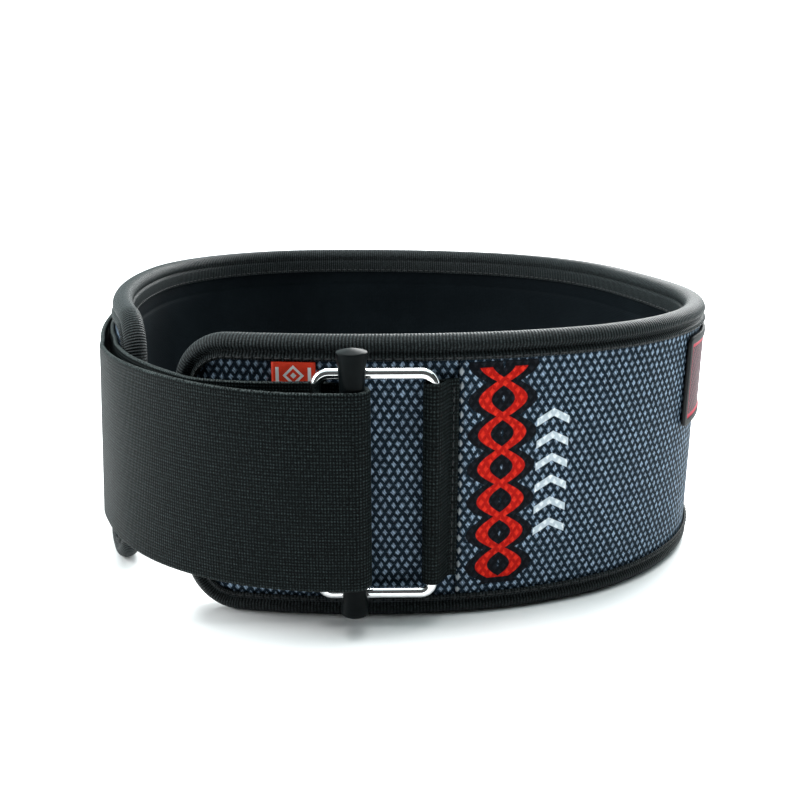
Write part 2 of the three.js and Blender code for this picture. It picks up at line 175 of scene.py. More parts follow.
def plan_at(s):
    """Point, tangent and outward direction of the belt's middle line at s."""
    s = np.asarray(s, float)
    inside = np.clip(s, 0, BELT_LENGTH)
    row = ARCS[np.searchsorted(ARCS[:, 0], inside, side="right") - 1]
    bend = row[..., 4]
    turned = bend * (inside - row[..., 0])
    chord = 2 * np.sin(turned / 2) / bend
    heading = row[..., 3] + turned
    tangent = direction_of(heading)
    point = row[..., 1:3] + chord[..., None] * direction_of(row[..., 3] + turned / 2)
    point = point + (s - inside)[..., None] * tangent
    outward = np.stack([tangent[..., 1], -tangent[..., 0]], -1)
    return point, tangent, outward


def lean_at(s):
    share = smoothstep(s, BELT_LENGTH - LEAN_LENGTH, BELT_LENGTH)
    return share * math.tan(math.radians(END_LEAN))


def curled(s, out, z):
    s, out, z = np.broadcast_arrays(*(np.asarray(a, float) for a in (s, out, z)))
    point, _, outward = plan_at(s)
    leaning = out - (z - MIDDLE_HEIGHT) * lean_at(s)
    plan = point + leaning[..., None] * outward
    return np.concatenate([plan, z[..., None]], -1)


def ripple(s, z, size, pitch):
    """A gentle fixed unevenness of cloth, size high, with waves about a pitch long."""
    waves = np.sin(s / pitch * 6.1 + z / pitch * 2.3)
    waves = waves + np.sin(s / pitch * 3.7 - z / pitch * 4.9 + 1.3)
    waves = waves + np.sin(s / pitch * 1.9 + z / pitch * 1.1 + 4.0)
    return size * waves / 3


# Meshes


def turn_outwards(mesh):
    shell = bmesh.new()
    shell.from_mesh(mesh)
    bmesh.ops.recalc_face_normals(shell, faces=shell.faces)
    shell.to_mesh(mesh)
    shell.free()


def make_piece(name, points, faces, flat, material, nodes=()):
    """A piece from points in mm. Flat holds each point's place on the flat cloth, in mm."""
    mesh = bpy.data.meshes.new(name)
    mesh.from_pydata((points.reshape(-1, 3) * MM).tolist(), [], faces)
    layout = mesh.attributes.new("flat", "FLOAT_VECTOR", "POINT")
    layout.data.foreach_set("vector", flat.reshape(-1, 3).astype(np.float32).ravel())
    turn_outwards(mesh)
    mesh.polygons.foreach_set("use_smooth", [True] * len(mesh.polygons))
    mesh.materials.append(material)
    piece = bpy.data.objects.new(name, mesh)
    bpy.context.scene.collection.objects.link(piece)
    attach(piece, "root")
    if nodes:
        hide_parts(*nodes)
    return piece


def tube_faces(count, around, closed=False):
    """Faces between rings of points; an open tube gets its two ends closed."""
    spans = count if closed else count - 1
    ring, place = np.meshgrid(np.arange(spans), np.arange(around), indexing="ij")
    following = (ring + 1) % count
    beside = (place + 1) % around
    quads = np.stack(
        [
            ring * around + place,
            ring * around + beside,
            following * around + beside,
            following * around + place,
        ],
        -1,
    )
    faces = quads.reshape(-1, 4).tolist()
    if not closed:
        last = (count - 1) * around
        faces.append(list(range(around)))
        faces.append(list(range(last + around - 1, last - 1, -1)))
    return faces


def slab_section(rows, steps=4):
    """A rounded slab's section as three lists: the share of the flat half height,
    the share of the rounding radius, and the side from -1 at the back to 1 at the face."""
    turn = np.linspace(-math.pi / 2, math.pi / 2, 2 * steps + 1)
    inner = np.asarray(rows)[1:-1]
    top = (np.ones_like(turn), np.cos(turn), np.sin(turn))
    face = (inner[::-1], np.zeros_like(inner), np.ones_like(inner))
    bottom = (-np.ones_like(turn), -np.cos(turn), -np.sin(turn))
    back = (inner, np.zeros_like(inner), -np.ones_like(inner))
    return [np.concatenate(part) for part in zip(top, face, bottom, back)]


def rounded_stations(start, end, radius, pitch, round_start, round_end):
    """Stations from start to end, closer together in a rounded end."""
    turn = np.linspace(0, math.pi / 2, 13)
    corner = radius * (1 - np.cos(turn)) if radius else np.zeros(1)
    low = start + radius if round_start else start
    high = end - radius if round_end else end
    count = max(2, int(round((high - low) / pitch)))
    parts = [np.linspace(low, high, count + 1)]
    if round_start:
        parts.insert(0, (start + corner)[:-1])
    if round_end:
        parts.append((end - corner)[::-1][1:])
    return np.concatenate(parts)


def corner_drop(distance, radius):
    into = np.clip(radius - distance, 0, None)
    return radius - np.sqrt(np.clip(radius**2 - into**2, 0, None))


def slab(
    name,
    look,
    span,
    heights,
    faces_at,
    rows,
    radius,
    rounded,
    pitch,
    *,
    nodes,
    relief=None,
):
    """A flat layer of the wall, rounded at its rim, curled and made a piece."""
    start, end = span
    low, high = heights
    back, face = faces_at
    stations = rounded_stations(start, end, radius, pitch, *rounded)
    into = np.full_like(stations, 1e3)
    if rounded[0]:
        into = np.minimum(into, stations - start)
    if rounded[1]:
        into = np.minimum(into, end - stations)
    drop = corner_drop(into, radius)
    half = ((high - low) / 2 - drop)[:, None]
    thick = face - back
    pinch = 0.35 + 0.65 * smoothstep(np.minimum(stations - start, end - stations), 0, thick / 2)
    rim = (thick / 2 * pinch)[:, None]
    share, rounding, side = (part[None, :] for part in slab_section(rows))
    z = (low + high) / 2 + share * (half - rim) + rounding * rim
    s = np.broadcast_to(stations[:, None], z.shape)
    out = (back + face) / 2 + side * rim
    if relief is not None:
        out = out + relief(s, z, side)
    points = curled(s, out, z)
    flat = np.stack([s, z, out], -1)
    quads = tube_faces(*z.shape)
    return make_piece(name, points, quads, flat, look, nodes)


# Materials


class Look:
    """A material being wired, with short ways to add the nodes it needs."""

    def __init__(self, name, **sockets):
        self.material = bpy.data.materials.new(name)
        self.material.use_nodes = True
        self.tree = self.material.node_tree
        self.shader = self.tree.nodes["Principled BSDF"]
        for label, value in sockets.items():
            socket = label.replace("_", " ").title().replace("Ior", "IOR")
            self.shader.inputs[socket].default_value = value

    def node(self, kind, **settings):
        made = self.tree.nodes.new(kind)
        for label, value in settings.items():
            setattr(made, label, value)
        return made

    def feed(self, socket, value):
        if isinstance(value, bpy.types.NodeSocket):
            self.tree.links.new(value, socket)
        else:
            socket.default_value = value

    def calc(self, operation, *values):
        made = self.node("ShaderNodeMath", operation=operation)
        for socket, value in zip(made.inputs, values):
            self.feed(socket, value)
        return made.outputs[0]

    def ramp(self, value, low, high, to_low=0.0, to_high=1.0):
        made = self.node("ShaderNodeMapRange", interpolation_type="SMOOTHSTEP")
        for socket, given in zip(made.inputs, (value, low, high, to_low, to_high)):
            self.feed(socket, given)
        return made.outputs[0]

    def mix(self, share, first, second):
        made = self.node("ShaderNodeMix", data_type="RGBA")
        self.feed(made.inputs["Factor"], share)
        self.feed(made.inputs[6], first)
        self.feed(made.inputs[7], second)
        return made.outputs[2]

    def layout(self):
        made = self.node("ShaderNodeAttribute", attribute_name="flat")
        parts = self.node("ShaderNodeSeparateXYZ")
        self.feed(parts.inputs[0], made.outputs["Vector"])
        return made.outputs["Vector"], parts.outputs[0], parts.outputs[1], parts.outputs[2]

    def noise(self, place, scale, detail=2.0):
        made = self.node("ShaderNodeTexNoise")
        self.feed(made.inputs["Vector"], place)
        made.inputs["Scale"].default_value = scale
        made.inputs["Detail"].default_value = detail
        return made.outputs[0]

    def chance(self, first, second):
        """A fixed random number for each pair of whole numbers."""
        pair = self.node("ShaderNodeCombineXYZ")
        self.feed(pair.inputs[0], first)
        self.feed(pair.inputs[1], second)
        made = self.node("ShaderNodeTexWhiteNoise", noise_dimensions="3D")
        self.feed(made.inputs["Vector"], pair.outputs[0])
        return made.outputs["Value"]

    def wave(self, value, pitch, shift=0.0):
        """0 in each groove and 1 on each ridge, a pitch apart."""
        turned = self.calc("MULTIPLY_ADD", value, 2 * math.pi / pitch, shift)
        return self.calc("MULTIPLY_ADD", self.calc("SINE", turned), 0.5, 0.5)

    def colour(self, value):
        self.feed(self.shader.inputs["Base Color"], value)

    def roughness(self, value):
        self.feed(self.shader.inputs["Roughness"], value)

    def relief(self, height, depth_mm, strength=1.0):
        made = self.node("ShaderNodeBump")
        made.inputs["Strength"].default_value = strength
        made.inputs["Distance"].default_value = depth_mm * MM
        self.feed(made.inputs["Height"], height)
        self.feed(self.shader.inputs["Normal"], made.outputs[0])


def woven_lozenges(look):
    """Staggered lozenges of pale threads on a dark ground. Returns the colour, how far a
    point is on a lozenge, and the height."""
    place, s, z, _ = look.layout()
    wobble = look.calc("MULTIPLY_ADD", look.noise(place, 0.35), 0.36, -0.18)
    across = look.calc("ADD", look.calc("DIVIDE", s, LOZENGE_PITCH), wobble)
    up = look.calc("DIVIDE", z, 2 * LOZENGE_ROW)
    up = look.calc("MULTIPLY_ADD", wobble, 0.6, up)
    rising = look.calc("ADD", across, up)
    falling = look.calc("SUBTRACT", across, up)
    side_a = look.calc("SUBTRACT", look.calc("FRACT", rising), 0.5)
    side_b = look.calc("SUBTRACT", look.calc("FRACT", falling), 0.5)
    wide = look.calc("DIVIDE", look.calc("ABSOLUTE", look.calc("ADD", side_a, side_b)), 0.66)
    tall = look.calc("DIVIDE", look.calc("ABSOLUTE", look.calc("SUBTRACT", side_a, side_b)), 0.54)
    fray = look.calc("MULTIPLY_ADD", look.noise(place, 1.6, 3.0), 0.5, -0.25)
    reach = look.calc("ADD", look.calc("ADD", wide, tall), fray)
    on = look.ramp(reach, 1.3, 0.62)
    luck = look.chance(look.calc("FLOOR", rising), look.calc("FLOOR", falling))
    strands = look.wave(rising, 0.3)
    fuzz = look.noise(place, 2.6, 3.0)
    bright = look.calc("MULTIPLY_ADD", luck, 0.4, 0.3)
    bright = look.calc("MULTIPLY_ADD", look.ramp(fuzz, 0.35, 0.7), 0.6, bright)
    bright = look.calc("MULTIPLY", bright, look.calc("MULTIPLY_ADD", strands, 0.8, 0.4))
    # Each lozenge is painted brightest at its middle and darker towards its rim: a painted
    # highlight on the raised threads.
    bright = look.calc("MULTIPLY", bright, look.ramp(reach, 1.1, 0.2, 0.62, 1.25))
    thread = look.mix(bright, (0.014, 0.025, 0.036, 1), (0.34, 0.46, 0.61, 1))
    lattice = look.calc("MAXIMUM", look.calc("ABSOLUTE", side_a), look.calc("ABSOLUTE", side_b))
    strand = look.calc("MULTIPLY", look.ramp(lattice, 0.36, 0.44), look.ramp(fuzz, 0.35, 0.6))
    ground = look.mix(strand, (0.0005, 0.0024, 0.0045, 1), (0.012, 0.026, 0.042, 1))
    dome = look.calc("MULTIPLY", on, look.calc("MULTIPLY_ADD", reach, -0.6, 1.2))
    height = look.calc("MULTIPLY_ADD", fuzz, 0.25, dome)
    return look.mix(on, ground, thread), on, height


def braid_print(look, woven, on):
    """A printed band of two crossing waves and a column of chevrons beside it."""
    _, s, z, _ = look.layout()
    sway = look.calc("SINE", look.calc("MULTIPLY", z, 2 * math.pi / BRAID_PITCH))
    swing = look.calc("MULTIPLY", sway, BRAID_SWING)
    from_middle = look.calc("SUBTRACT", s, BRAID_POSITION)
    first = look.calc("ABSOLUTE", look.calc("SUBTRACT", from_middle, swing))
    second = look.calc("ABSOLUTE", look.calc("ADD", from_middle, swing))
    nearest = look.calc("MINIMUM", first, second)
    from_height = look.calc("ABSOLUTE", look.calc("SUBTRACT", z, PRINT_MIDDLE))
    inked = look.ramp(from_height, 38.2, 37.8)
    red = look.calc("MULTIPLY", look.ramp(nearest, 2.35, 2.0), inked)
    dark = look.calc("MULTIPLY", look.ramp(nearest, 6.0, 5.6), look.ramp(from_height, 40.4, 40.0))
    beside = look.calc("ABSOLUTE", look.calc("SUBTRACT", s, CHEVRON_POSITION))
    folded = look.calc("MULTIPLY_ADD", beside, 0.55, z)
    band = look.calc("PINGPONG", folded, 4.0)
    shape = look.calc("MULTIPLY", look.ramp(band, 1.5, 1.25), look.ramp(beside, 6.0, 5.8))
    from_row = look.calc("ABSOLUTE", look.calc("SUBTRACT", folded, 52.0))
    white = look.calc("MULTIPLY", shape, look.ramp(from_row, 26.2, 25.8))
    ink_red = look.mix(on, (0.42, 0.008, 0.005, 1), (0.72, 0.025, 0.012, 1))
    ink_white = look.mix(on, (0.5, 0.58, 0.64, 1), (0.8, 0.86, 0.9, 1))
    ink_dark = look.mix(on, (0.003, 0.004, 0.006, 1), (0.008, 0.01, 0.014, 1))
    printed = look.mix(dark, woven, ink_dark)
    printed = look.mix(red, printed, ink_red)
    return look.mix(white, printed, ink_white)


def cover_look(name, printed):
    look = Look(name, roughness=0.62, specular_ior_level=0.05)
    colour, on, height = woven_lozenges(look)
    if printed:
        colour = braid_print(look, colour, on)
        _, s, _, _ = look.layout()
        # A thin line of lozenges beside the seam is painted pale: a painted highlight where the
        # folded edge of the hem catches the light.
        hem = look.ramp(s, SEAM_POSITION + 1.9, SEAM_POSITION + 0.9)
        colour = look.mix(look.calc("MULTIPLY", hem, on), colour, (0.36, 0.4, 0.43, 1))
    look.colour(colour)
    look.relief(height, 0.28)
    return look.material


def tape_look():
    """Ribbed tape: ribs across it, with fine threads along it."""
    look = Look("ribbed_tape", roughness=0.45, specular_ior_level=0.06)
    place, along, across, _ = look.layout()
    rib = look.wave(along, TAPE_RIB)
    thread = look.wave(across, 0.55)
    fuzz = look.noise(place, 1.9, 3.0)
    wear = look.noise(place, 0.06)
    # Ridges are painted lighter and grooves darker: partly the weave, partly painted glints on the
    # ridges and painted shade in the grooves.
    light = look.calc("MULTIPLY", rib, look.ramp(fuzz, 0.35, 0.68, 0.25, 1.1))
    ribs = look.mix(light, (0.0005, 0.0008, 0.001, 1), (0.034, 0.043, 0.045, 1))
    look.colour(look.mix(look.ramp(wear, 0.45, 0.8, 0.0, 0.25), ribs, (0.009, 0.012, 0.013, 1)))
    height = look.calc("MULTIPLY_ADD", thread, 0.25, rib)
    look.relief(look.calc("MULTIPLY_ADD", fuzz, 0.3, height), 0.22)
    return look.material


def webbing_look():
    """Strap webbing: ribs across the strap, pinched in rows, with a pale painted highlight along
    both edges.
    """
    look = Look("strap_webbing", roughness=0.5, specular_ior_level=0.03)
    place, along, across, _ = look.layout()
    rib = look.wave(along, STRAP_RIB)
    row = look.wave(across, STRAP_ROW)
    every_other = look.wave(across, 2 * STRAP_ROW)
    row = look.calc("MULTIPLY", row, look.calc("MULTIPLY_ADD", every_other, 0.5, 0.6))
    fuzz = look.noise(place, 2.2, 3.0)
    patchy = look.noise(place, 0.08)
    # Ridges of the ribs and rows are painted lighter and the grooves darker: partly the weave,
    # partly painted highlight on the ridges and painted shade in the grooves.
    across_ribs = look.calc("MULTIPLY_ADD", rib, 0.85, 0.15)
    across_rows = look.calc("MULTIPLY_ADD", row, 0.85, 0.15)
    body = look.calc("MULTIPLY", across_ribs, across_rows)
    light = look.calc("MULTIPLY", body, look.ramp(fuzz, 0.35, 0.68, 0.12, 1.25))
    cloth = look.mix(light, (0.0003, 0.0005, 0.0006, 1), (0.034, 0.048, 0.049, 1))
    cloth = look.mix(look.ramp(patchy, 0.4, 0.75, 0.0, 0.2), cloth, (0.004, 0.006, 0.006, 1))
    # A thin pale line along each edge of the strap: a painted highlight where the edge catches the
    # light.
    rim = look.calc("ABSOLUTE", across)
    edge = look.ramp(rim, STRAP_WIDTH / 2 - 0.6, STRAP_WIDTH / 2 - 0.2)
    edge = look.calc("MULTIPLY", edge, look.ramp(fuzz, 0.4, 0.65))
    look.colour(look.mix(edge, cloth, (0.045, 0.055, 0.054, 1)))
    height = look.calc("MULTIPLY_ADD", fuzz, 0.35, body)
    look.relief(height, 0.25)
    return look.material


def lining_look():
    look = Look("smooth_lining", roughness=0.7, specular_ior_level=0.03)
    place, s, z, _ = look.layout()
    knit = look.calc("MULTIPLY", look.wave(s, 0.9), look.wave(z, 0.8))
    cloud = look.noise(place, 0.03)
    share = look.ramp(cloud, 0.35, 0.7)
    base = look.mix(share, (0.002, 0.0036, 0.0048, 1), (0.0034, 0.0056, 0.0072, 1))
    look.colour(look.mix(look.calc("MULTIPLY", knit, 0.25), base, (0.006, 0.0095, 0.012, 1)))
    look.relief(look.calc("MULTIPLY_ADD", look.noise(place, 1.5), 0.4, knit), 0.08)
    return look.material


def chrome_look():
    look = Look("chrome", metallic=1.0)
    coords = look.node("ShaderNodeTexCoord")
    worn = look.noise(coords.outputs["Object"], 900.0)
    cloud = look.noise(coords.outputs["Object"], 120.0)
    share = look.ramp(cloud, 0.4, 0.7)
    look.colour(look.mix(share, (0.86, 0.87, 0.88, 1), (0.94, 0.945, 0.95, 1)))
    look.roughness(look.ramp(worn, 0.35, 0.8, 0.05, 0.13))
    look.relief(worn, 0.01)
    return look.material


def plastic_look():
    look = Look("bar_plastic", specular_ior_level=0.04)
    coords = look.node("ShaderNodeTexCoord")
    grain = look.noise(coords.outputs["Object"], 2500.0, 3.0)
    cloud = look.noise(coords.outputs["Object"], 140.0)
    share = look.ramp(cloud, 0.35, 0.7)
    look.colour(look.mix(share, (0.0016, 0.0028, 0.0032, 1), (0.003, 0.0045, 0.005, 1)))
    look.roughness(look.ramp(cloud, 0.3, 0.75, 0.36, 0.46))
    look.relief(grain, 0.03)
    return look.material


def thread_look():
    look = Look("sewing_thread", roughness=0.6, specular_ior_level=0.2)
    place, along, _, _ = look.layout()
    ply = look.wave(along, 0.5)
    look.colour(look.mix(ply, (0.008, 0.009, 0.01, 1), (0.04, 0.043, 0.045, 1)))
    look.relief(ply, 0.06)
    return look.material


def tag_look():
    """Red satin with a plain white diamond between two bars."""
    look = Look("red_satin", specular_ior_level=0.3)
    place, s, z, _ = look.layout()
    across = look.calc("ABSOLUTE", look.calc("SUBTRACT", s, TAG_POSITION))
    height = look.calc("ABSOLUTE", look.calc("SUBTRACT", z, TRIM_TOP - 4.5))
    diamond = look.calc("ADD", across, height)
    ring = look.ramp(look.calc("ABSOLUTE", look.calc("SUBTRACT", diamond, 2.9)), 0.62, 0.5)
    bar = look.ramp(look.calc("ABSOLUTE", look.calc("SUBTRACT", across, 5.2)), 0.6, 0.48)
    bar = look.calc("MULTIPLY", bar, look.ramp(height, 2.8, 2.68))
    motif = look.calc("MAXIMUM", look.calc("MAXIMUM", ring, bar), look.ramp(diamond, 1.1, 0.95))
    weft = look.wave(z, 0.32)
    warp = look.wave(s, 0.42)
    red = look.mix(weft, (0.68, 0.03, 0.008, 1), (0.85, 0.05, 0.014, 1))
    white = look.mix(warp, (0.75, 0.75, 0.76, 1), (0.9, 0.9, 0.9, 1))
    look.colour(look.mix(motif, red, white))
    look.roughness(look.ramp(look.noise(place, 1.2), 0.3, 0.7, 0.38, 0.55))
    look.relief(look.calc("MULTIPLY_ADD", weft, 0.6, look.calc("MULTIPLY", warp, 0.3)), 0.06)
    return look.material


def patch_look():
    """Black rubber with a red inner frame and a fine pale hatch."""
    look = Look("moulded_patch", specular_ior_level=0.12)
    place, s, z, _ = look.layout()
    middle_s = PATCH_POSITION + PATCH_WIDTH / 2
    middle_z = PATCH_TOP - PATCH_HEIGHT / 2
    off_s = look.calc("ABSOLUTE", look.calc("SUBTRACT", s, middle_s))
    off_z = look.calc("ABSOLUTE", look.calc("SUBTRACT", z, middle_z))
    in_s = look.calc("SUBTRACT", PATCH_WIDTH / 2, off_s)
    in_z = look.calc("SUBTRACT", PATCH_HEIGHT / 2, off_z)
    inset = look.calc("MINIMUM", in_s, in_z)
    frame_line = look.ramp(look.calc("ABSOLUTE", look.calc("SUBTRACT", inset, 3.6)), 0.75, 0.6)
    field = look.ramp(inset, 4.3, 4.5)
    hatch_a = look.wave(look.calc("ADD", s, z), 2.1)
    hatch_b = look.wave(look.calc("SUBTRACT", s, z), 2.1)
    hatch = look.ramp(look.calc("MAXIMUM", hatch_a, hatch_b), 0.8, 0.95)
    grain = look.noise(place, 2.4, 3.0)
    rubber = look.mix(look.ramp(grain, 0.3, 0.7), (0.009, 0.01, 0.011, 1), (0.016, 0.017, 0.018, 1))
    red = look.mix(look.ramp(grain, 0.3, 0.8), (0.42, 0.012, 0.035, 1), (0.55, 0.02, 0.05, 1))
    inside = look.mix(hatch, rubber, (0.2, 0.05, 0.075, 1))
    look.colour(look.mix(frame_line, look.mix(field, rubber, inside), red))
    look.roughness(look.ramp(grain, 0.3, 0.7, 0.5, 0.66))
    raised = look.calc("MULTIPLY", hatch, field)
    look.relief(look.calc("MULTIPLY_ADD", grain, 0.2, raised), 0.16)
    return look.material


def floor_look():
    look = Look("pale_floor", base_color=(0.92, 0.92, 0.92, 1), specular_ior_level=0.35)
    coords = look.node("ShaderNodeTexCoord")
    cloud = look.noise(coords.outputs["Object"], 3.0)
    look.roughness(look.ramp(cloud, 0.3, 0.7, 0.28, 0.34))
    return look.material


# Pad and covers


def pad_rows():
    """Rows across the pad, closer together at the two sewn channels."""
    half = MIDDLE_HEIGHT - PAD_INSET
    channel = (MIDDLE_HEIGHT - 18.5) / half
    fine = channel + np.linspace(-2.0, 2.0, 9) / half
    coarse = np.linspace(-1, 1, 31)
    keep = [v for v in coarse if np.min(np.abs(np.concatenate([fine, -fine]) - v)) > 0.02]
    return np.sort(np.concatenate([keep, fine, -fine]))


def pad_relief(s, z, side):
    """The inner face crowns between the laps of the tape and dips at two sewn channels."""
    from_middle = np.abs(z - MIDDLE_HEIGHT)
    crown = 0.75 * (1 - smoothstep(from_middle, 22, 39))
    channel = 0.55 * np.exp(-(((from_middle - 31.5) / 0.9) ** 2))
    soft = ripple(s, z, 0.12, 60.0)
    inner = -crown + channel + soft
    return np.where(side < -0.99, inner, 0.0)


def padded_wall():
    wall = slab(
        "padded_wall",
        lining_look(),
        (PAD_INSET, BELT_LENGTH - PAD_INSET),
        (PAD_INSET, BELT_WIDTH - PAD_INSET),
        (-PAD_FACE, PAD_FACE),
        pad_rows(),
        END_CORNER_RADIUS - PAD_INSET,
        (True, True),
        4.0,
        relief=pad_relief,
        nodes=("padded_lining",),
    )
    return wall


def cover_relief(s, z, side):
    """The face is a little uneven, and rises into a hem beside the seam."""
    rim = np.minimum(z - COVER_INSET, BELT_WIDTH - COVER_INSET - z)
    hem = 1.2 * (1 - smoothstep(s, SEAM_POSITION + 3.2, SEAM_POSITION + 12.2))
    hem = np.where(s > SEAM_POSITION, hem, 0) * smoothstep(rim, 2.0, 3.6)
    soft = ripple(s, z, 0.1, 24.0) * smoothstep(rim, 1.5, 8.0)
    return np.where(side > 0.99, hem + soft, 0.0)


def cover_panel(name, look, start, end, rounded, node):
    panel = slab(
        name,
        look,
        (start, end),
        (COVER_INSET, BELT_WIDTH - COVER_INSET),
        (COVER_BACK, COVER_FACE),
        np.linspace(-1, 1, 35),
        END_CORNER_RADIUS - COVER_INSET,
        rounded,
        3.0,
        relief=cover_relief,
        nodes=(node,),
    )
    return panel


def woven_covers():
    seam = CLEARANCE / 2
    front = cover_look("woven_plain", False)
    main = cover_look("woven_printed", True)
    first = (COVER_INSET, SEAM_POSITION - seam)
    second = (SEAM_POSITION + seam, BELT_LENGTH - COVER_INSET)
    cover_panel("woven_front_panel", front, *first, (True, False), "outer_cover_front")
    cover_panel("woven_main_panel", main, *second, (False, True), "outer_cover_main")


# Binding tape


def belt_outline(pitch):
    """The flat belt's outline once round: s, height from the middle, and the way inwards."""
    radius = END_CORNER_RADIUS
    turn = np.linspace(0, math.pi / 2, 16)
    end_rows = np.linspace(0, MIDDLE_HEIGHT - radius, 12)[:-1]
    run = np.linspace(radius, BELT_LENGTH - radius, int((BELT_LENGTH - 2 * radius) / pitch))[1:-1]
    corner_s = radius * (1 - np.cos(turn))
    corner_h = MIDDLE_HEIGHT - radius + radius * np.sin(turn)
    s = np.concatenate([0 * end_rows, corner_s])
    height = np.concatenate([end_rows, corner_h])
    inward = np.concatenate([0 * end_rows, turn])
    upper_s = np.concatenate([s, run, BELT_LENGTH - s[::-1]])
    upper_h = np.concatenate([height, 0 * run + MIDDLE_HEIGHT, height[::-1]])
    upper_turn = np.concatenate([inward, 0 * run + math.pi / 2, math.pi - inward[::-1]])
    way = np.stack([np.cos(upper_turn), -np.sin(upper_turn)], -1)
    lower = slice(-2, 0, -1)
    s = np.concatenate([upper_s, upper_s[lower]])
    height = np.concatenate([upper_h, -upper_h[lower]])
    way = np.concatenate([way, way[lower] * [1, -1]])
    return s, height, way


def along_of(s, height):
    step = np.hypot(np.diff(s), np.diff(height))
    return np.concatenate([[0], np.cumsum(step)])


def tape_section():
    """The folded tape's section: how deep in from the edge, and how far out."""
    middle = (TAPE_FACE + TAPE_INNER_FACE) / 2
    radius = (TAPE_FACE - TAPE_INNER_FACE) / 2
    turn = np.radians(np.linspace(82, -90, 17))
    roll = [(3.95 - radius * math.cos(a), middle + radius * math.sin(a)) for a in turn]
    lap = [(8.0, 4.0), (8.05, 4.35), (7.85, 4.68), (7.4, 4.86)]
    lap += [(6.9, 4.88), (6.5, 4.76), (6.15, 4.45)]
    valley = [(5.85, 3.98), (5.55, 3.62), (5.2, 3.48), (4.85, 3.6), (4.5, 3.98), (4.1, 4.45)]
    inner_groove = [(4.5, -3.28), (4.85, -2.98), (5.25, -2.96), (5.6, -3.2), (6.0, -3.55)]
    inner_lap = [(6.6, -3.72), (9.0, -3.64), (11.2, -3.6)]
    inner_lap += [(11.85, -3.45), (12.0, -3.0), (11.9, -2.6)]
    hidden = [(8.0, -2.5), (4.0, -2.5), (2.1, -2.4), (1.0, -1.2)]
    hidden += [(1.0, 1.2), (2.1, 2.45), (4.6, 2.52)]
    close = [(5.3, 2.62), (5.9, 3.2), (6.3, 3.78), (7.2, 3.84)]
    return np.array(lap + valley + roll + inner_groove + inner_lap + hidden + close)


def on_tape(s, height, way, depth, out):
    """Puts points of the tape's section, depth in from the edge, on the curled belt."""
    place_s = s + depth * way[..., 0]
    place_h = height + depth * way[..., 1]
    return curled(place_s, out, MIDDLE_HEIGHT + place_h)


def binding_tape():
    s, height, way = belt_outline(2.0)
    section = tape_section()
    depth = section[None, :, 0]
    out = section[None, :, 1]
    along = along_of(s, height)[:, None]
    step = np.hypot(*np.diff(section, axis=0).T)
    across = np.concatenate([[0], np.cumsum(step)])[None, :]
    points = on_tape(s[:, None], height[:, None], way[:, None, :], depth, out)
    flat = np.stack(np.broadcast_arrays(along, across, out), -1)
    faces = tube_faces(len(s), len(section), closed=True)
    tape = make_piece(
        "binding_tape",
        points,
        faces,
        flat,
        tape_look(),
        ("binding_top", "binding_bottom"),
    )
    return tape


# Sewing


def thread_piece(name, starts, ends, radius, look):
    """Short stitches as one piece: each is a six-sided bead that tapers at both ends."""
    share = np.array([0.0, 0.18, 0.5, 0.82, 1.0])
    width = np.array([0.25, 0.85, 1.0, 0.85, 0.25])
    turn = np.arange(6) * math.pi / 3
    axis = ends - starts
    length = np.linalg.norm(axis, axis=1, keepdims=True)
    axis = axis / length
    helper = np.where(np.abs(axis[:, 2:3]) > 0.9, [[1.0, 0, 0]], [[0, 0, 1.0]])
    first = np.cross(axis, helper)
    first /= np.linalg.norm(first, axis=1, keepdims=True)
    second = np.cross(axis, first)
    ring = np.cos(turn)[:, None] * first[:, None, :] + np.sin(turn)[:, None] * second[:, None, :]
    middle = starts[:, None, :] + share[None, :, None] * (ends - starts)[:, None, :]
    points = middle[:, :, None, :] + radius * width[None, :, None, None] * ring[:, None, :, :]
    count = len(starts)
    one = tube_faces(5, 6)
    faces = [[corner + 30 * i for corner in face] for i in range(count) for face in one]
    along = np.broadcast_to((share * 2.4)[None, :, None], (count, 5, 6))
    flat = np.stack([along, np.zeros_like(along), np.zeros_like(along)], -1)
    return make_piece(name, points, faces, flat, look)


def stitch_marks(total, pitch, share=0.72):
    """Where stitches start and end along a row."""
    count = int(total // pitch)
    start = (np.arange(count) + 0.14) * total / count
    return start, start + share * total / count


def tape_stitches(look):
    s, height, way = belt_outline(1.0)
    along = along_of(s, height)
    rows = (("outer_lap_stitches", 7.15, 4.93), ("inner_lap_stitches", 10.9, -3.66))
    for name, depth, out in rows:
        ends = []
        for mark in stitch_marks(along[-1], 3.2):
            at_s = np.interp(mark, along, s)
            at_h = np.interp(mark, along, height)
            at_way = np.stack([np.interp(mark, along, way[:, k]) for k in (0, 1)], -1)
            ends.append(on_tape(at_s, at_h, at_way, depth, out))
        thread_piece(name, ends[0], ends[1], 0.26, look)


def upright_stitches(name, positions, out, low, high, look):
    start, end = stitch_marks(high - low, 3.0)
    starts = [curled(s, out, low + start) for s in positions]
    ends = [curled(s, out, low + end) for s in positions]
    return thread_piece(name, np.concatenate(starts), np.concatenate(ends), 0.28, look)


# Places around the ring, seen from above

LEG_OUT = TRIM_BACK + TAG_THICKNESS + CLEARANCE + STRAP_THICKNESS + CLEARANCE + WIRE_RADIUS
LEG_FROM_CENTRE = RING_WIDTH / 2
BAR_OFF = WIRE_RADIUS + CLEARANCE + BAR_RAIL_RADIUS
RING_MIDDLE = MIDDLE_HEIGHT + RING_RISE
RING_BOTTOM = RING_MIDDLE - RING_HEIGHT / 2
RING_TOP = RING_MIDDLE + RING_HEIGHT / 2
RING_PLACE, RING_TANGENT, RING_OUTWARD = plan_at(RING_POSITION)


def plan_point(s, out):
    point, _, outward = plan_at(s)
    return point + np.asarray(out)[..., None] * outward


